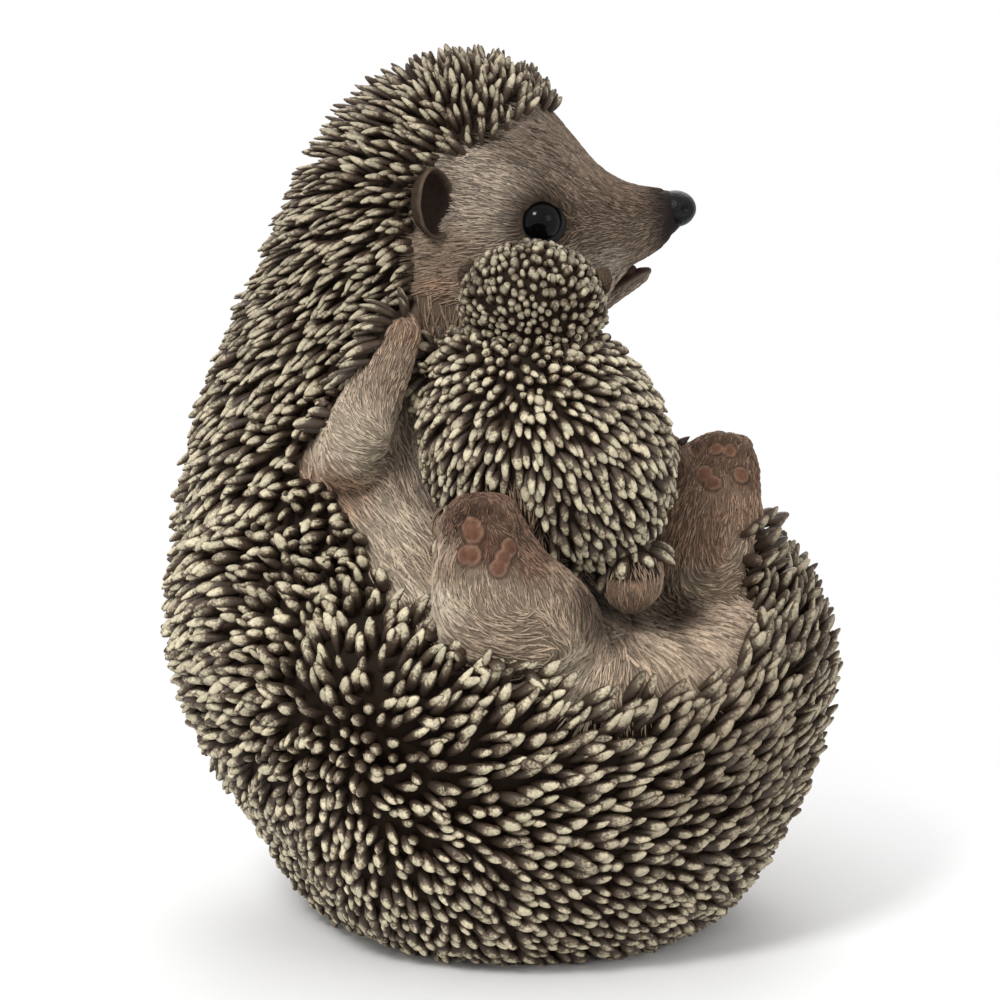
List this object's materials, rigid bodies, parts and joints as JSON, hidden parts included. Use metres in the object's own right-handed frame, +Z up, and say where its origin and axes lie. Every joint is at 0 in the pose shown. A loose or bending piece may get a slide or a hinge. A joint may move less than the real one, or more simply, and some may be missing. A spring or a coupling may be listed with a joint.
{
  "type": "hedgehog figurine",
  "caption": "Cast resin ornament of a mother hedgehog lying curled on her back with her young one on her lap, quilled coats, carved fur and a flat base.",
  "frame": {"origin": "centre of the flat base that the figurine rests on", "axes": "+Z up through the head, +X the way the mother looks and her belly opens, +Y away from the side on which the young one sits"},
  "size_m": [0.1546, 0.1519, 0.2045],
  "materials": {
    "quilled_coat": "painted resin, satin, dark at the quill roots and cream at the tips",
    "fur": "painted resin, matt, carved fur with dark grooves",
    "ear": "painted resin, matt, dark inside and lighter on the rim",
    "eye": "black, high gloss",
    "nose": "black painted resin, glossy and lightly pitted"
  },
  "bodies": {
    "root": {"mother_body": "quilled_coat", "mother_head": "quilled_coat", "mother_jaw": "fur", "mother_nose": "nose", "mother_ear_right": "ear", "mother_ear_left": "ear", "mother_eye_right": "eye", "mother_eye_left": "eye", "mother_arm_right": "fur", "mother_arm_left": "fur", "mother_leg_right": "fur", "mother_leg_left": "fur", "baby_body": "quilled_coat", "baby_head": "quilled_coat", "baby_nose": "nose", "baby_ear_right": "ear", "baby_ear_left": "ear", "baby_eye_right": "eye", "baby_eye_left": "eye", "baby_arm_right": "fur", "baby_arm_left": "fur", "baby_leg_right": "fur", "baby_leg_left": "fur"}
  },
  "joints": []
}
